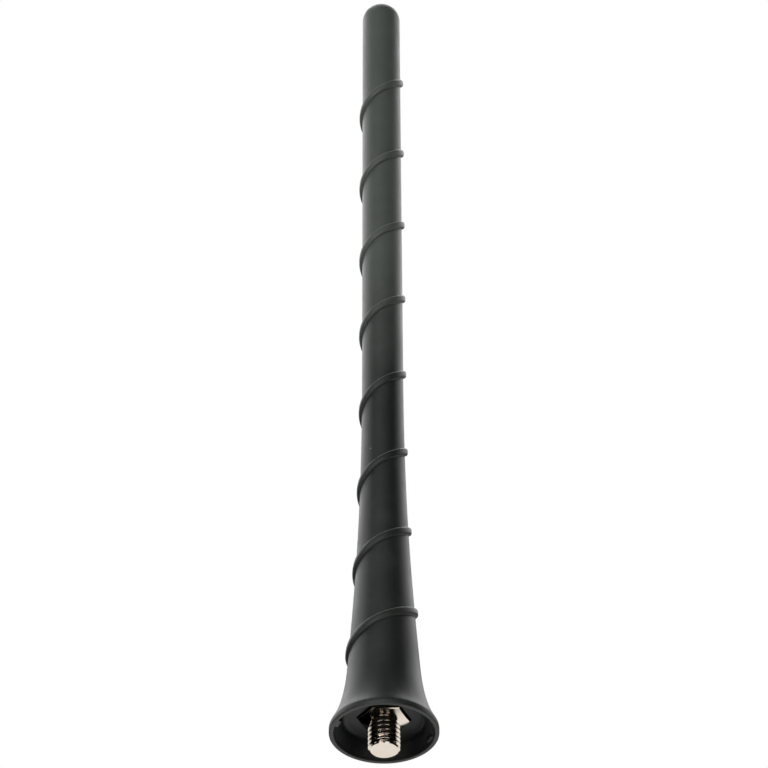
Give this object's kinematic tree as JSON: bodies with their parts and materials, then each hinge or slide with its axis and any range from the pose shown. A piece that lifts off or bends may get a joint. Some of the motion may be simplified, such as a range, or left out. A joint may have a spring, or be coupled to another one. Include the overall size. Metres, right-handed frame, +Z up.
{
  "type": "car roof mast aerial",
  "caption": "Flexible rubber mast aerial for a car roof, with a helical rib, a flared bell foot and a threaded stud that screws into the aerial base.",
  "frame": {"origin": "centre of the bell's mouth plane, on the axis of the stud", "axes": "+Z up along the mast to its tip, -Z the way the stud points, -Y the near side as the picture shows it, +X to the right there"},
  "size_m": [0.017, 0.017, 0.1536],
  "materials": {
    "mast_rubber": "moulded, matte black",
    "plated_stud": "turned and nickel plated",
    "glass_fibre": "pultruded glass fibre in resin, satin",
    "copper_wire": "enamelled copper wire, glossy",
    "solder": "tin solder, bright",
    "shrink_tube": "heat-shrunk polyolefin, satin black"
  },
  "bodies": {
    "root": {"mast_cover": "mast_rubber", "base_stud": "plated_stud", "core_rod": "glass_fibre", "aerial_winding": "copper_wire", "solder_joint": "solder", "shrink_sleeve": "shrink_tube"}
  },
  "joints": []
}
